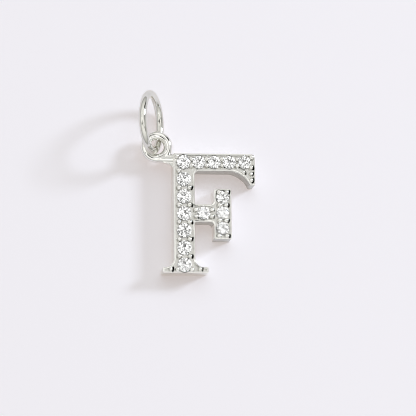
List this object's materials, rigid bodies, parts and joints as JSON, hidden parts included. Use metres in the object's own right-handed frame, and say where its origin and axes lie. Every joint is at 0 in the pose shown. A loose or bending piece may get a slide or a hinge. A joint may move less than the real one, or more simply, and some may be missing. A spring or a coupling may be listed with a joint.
{
  "type": "initial pendant",
  "caption": "Serif letter charm pave-set with round clear stones, with a soldered eyelet and a round-wire jump ring for a chain; it lies on its flat back.",
  "frame": {"origin": "on the letter's flat back, on the stem's centre line, half way up the letter", "axes": "+Y towards the top of the letter, +X towards the ends of its arms, +Z out of the set face; the back is z = 0"},
  "size_m": [0.0093, 0.0142, 0.0046],
  "materials": {
    "silver": "polished rhodium-plated silver",
    "crystal": "clear, brilliant cut"
  },
  "bodies": {
    "root": {"letter": "silver", "jump_ring": "silver", "stone_01": "crystal", "stone_02": "crystal", "stone_03": "crystal", "stone_04": "crystal", "stone_05": "crystal", "stone_06": "crystal", "stone_07": "crystal", "stone_08": "crystal", "stone_09": "crystal", "stone_10": "crystal", "stone_11": "crystal", "stone_12": "crystal", "stone_13": "crystal", "stone_14": "crystal", "stone_15": "crystal"}
  },
  "joints": []
}
